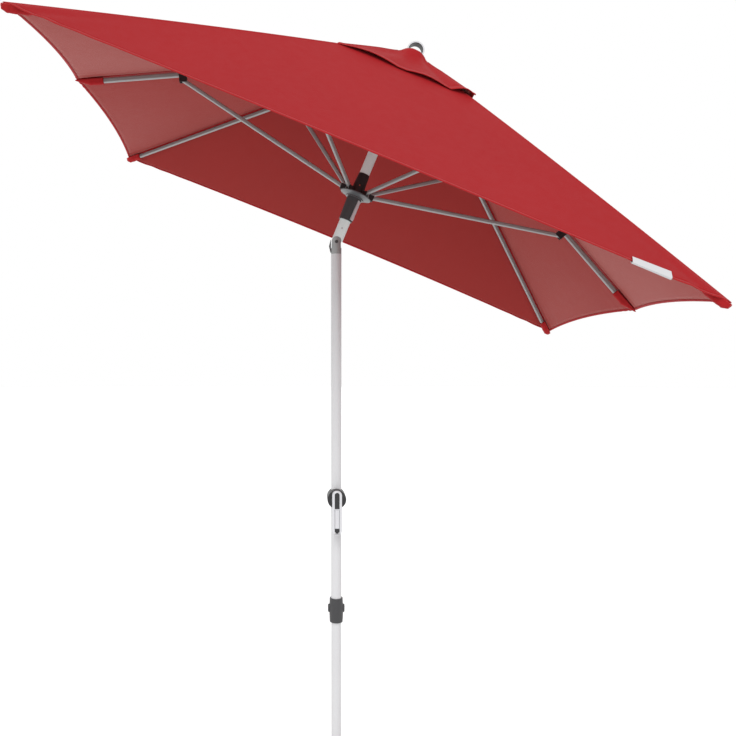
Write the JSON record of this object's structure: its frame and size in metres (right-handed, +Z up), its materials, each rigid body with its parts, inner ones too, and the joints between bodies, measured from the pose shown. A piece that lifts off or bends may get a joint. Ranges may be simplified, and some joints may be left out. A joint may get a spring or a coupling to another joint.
{
  "type": "patio umbrella with base",
  "caption": "Rectangular tilting patio umbrella: vented fabric canopy on ribs and struts, two-part pole with crank and button collar, weighted slab base.",
  "frame": {"origin": "on the floor at the pole's axis", "axes": "+Z up along the pole, +X towards the low side of the tilted canopy, +Y away from the crank"},
  "size_m": [1.7445, 1.202, 2.4842],
  "materials": {
    "pad_rubber": "matt moulded",
    "slab_stone": "fine ground granite",
    "zinc_steel": "zinc plated",
    "coated_steel": "satin powder coat",
    "black_plastic": "fine grained",
    "grey_plastic": "fine grained",
    "silver_tube": "satin silver coat",
    "silver_head": "satin silver coat",
    "silver_trim": "satin",
    "frame_aluminium": "satin",
    "red_plastic": "satin",
    "rivet_copper": "dull",
    "canopy_cloth": "woven polyester",
    "label_tape": "smooth woven tape"
  },
  "bodies": {
    "base": {"base_pad": "pad_rubber", "base_slab": "slab_stone", "socket_flange": "coated_steel", "socket_tube": "coated_steel", "socket_bosses": "coated_steel", "flange_bolts": "zinc_steel", "pole_sleeve": "black_plastic", "lower_pole": "silver_tube", "pole_foot_cap": "black_plastic"},
    "knob_lower": {"clamp_knob_lower": "black_plastic"},
    "knob_upper": {"clamp_knob_upper": "black_plastic"},
    "upper_pole": {"upper_pole": "silver_tube", "height_collar": "grey_plastic", "crank_housing": "black_plastic", "tilt_fork": "frame_aluminium", "tilt_pin": "coated_steel", "lever_pin": "zinc_steel"},
    "button_left": {"collar_button_left": "grey_plastic"},
    "button_right": {"collar_button_right": "grey_plastic"},
    "crank": {"crank_spool": "zinc_steel", "crank_arm": "silver_trim", "crank_insert": "black_plastic", "handle_pin": "zinc_steel"},
    "crank_handle": {"crank_handle": "silver_trim", "handle_tip": "black_plastic"},
    "tilt_lever": {"tilt_lever": "grey_plastic"},
    "head": {"canopy_fabric": "canopy_cloth", "crown_hub": "black_plastic", "crown_pins": "zinc_steel", "finial_base": "red_plastic", "finial_liner": "black_plastic", "finial_ring": "silver_trim", "head_tube": "silver_head", "hem_label": "label_tape", "rib_back_left": "frame_aluminium", "rib_back_right": "frame_aluminium", "rib_brackets": "black_plastic", "rib_front_left": "frame_aluminium", "rib_front_right": "frame_aluminium", "rib_left": "frame_aluminium", "rib_right": "frame_aluminium", "runner_dish": "frame_aluminium", "runner_hinges": "black_plastic", "runner_neck": "black_plastic", "runner_rivet": "rivet_copper", "runner_sleeve": "grey_plastic", "runner_trim": "silver_trim", "sleeve_screw": "zinc_steel", "strut_back_left": "frame_aluminium", "strut_back_right": "frame_aluminium", "strut_front_left": "frame_aluminium", "strut_front_right": "frame_aluminium", "strut_left": "frame_aluminium", "strut_right": "frame_aluminium", "tilt_sleeve": "silver_head", "vent_cap": "canopy_cloth"}
  },
  "joints": [
    {"name": "knob_lower_turn", "type": "hinge", "parent": "base", "child": "knob_lower", "pos_m": [0.044, 0, 0.13], "axis": [1, 0, 0], "continuous": true},
    {"name": "knob_upper_turn", "type": "hinge", "parent": "base", "child": "knob_upper", "pos_m": [0.044, 0, 0.25], "axis": [1, 0, 0], "continuous": true},
    {"name": "pole_slide", "type": "slide", "parent": "base", "child": "upper_pole", "axis": [0, 0, 1], "range_m": [-0.15, 0]},
    {"name": "button_left_press", "type": "slide", "parent": "upper_pole", "child": "button_left", "axis": [1, 0, 0], "range_m": [0, 0.003], "stiffness_N_per_m": 600, "springref_m": -0.001},
    {"name": "button_right_press", "type": "slide", "parent": "upper_pole", "child": "button_right", "axis": [-1, 0, 0], "range_m": [0, 0.003], "stiffness_N_per_m": 600, "springref_m": -0.001},
    {"name": "crank_turn", "type": "hinge", "parent": "upper_pole", "child": "crank", "pos_m": [0, -0.052, 1.0645], "axis": [0, -1, 0], "continuous": true},
    {"name": "handle_fold", "type": "hinge", "parent": "crank", "child": "crank_handle", "pos_m": [0, -0.053, 0.9695], "axis": [1, 0, 0], "range_deg": [0, 90]},
    {"name": "tilt_lever_pull", "type": "hinge", "parent": "upper_pole", "child": "tilt_lever", "pos_m": [-0.0135, 0, 1.834], "axis": [0, -1, 0], "range_deg": [0, 10], "stiffness_Nm_per_rad": 0.4, "springref_deg": -5.73},
    {"name": "head_tilt", "type": "hinge", "parent": "upper_pole", "child": "head", "pos_m": [0, 0, 1.86], "axis": [0, 1, 0], "range_deg": [-22.44, 7.5]}
  ]
}
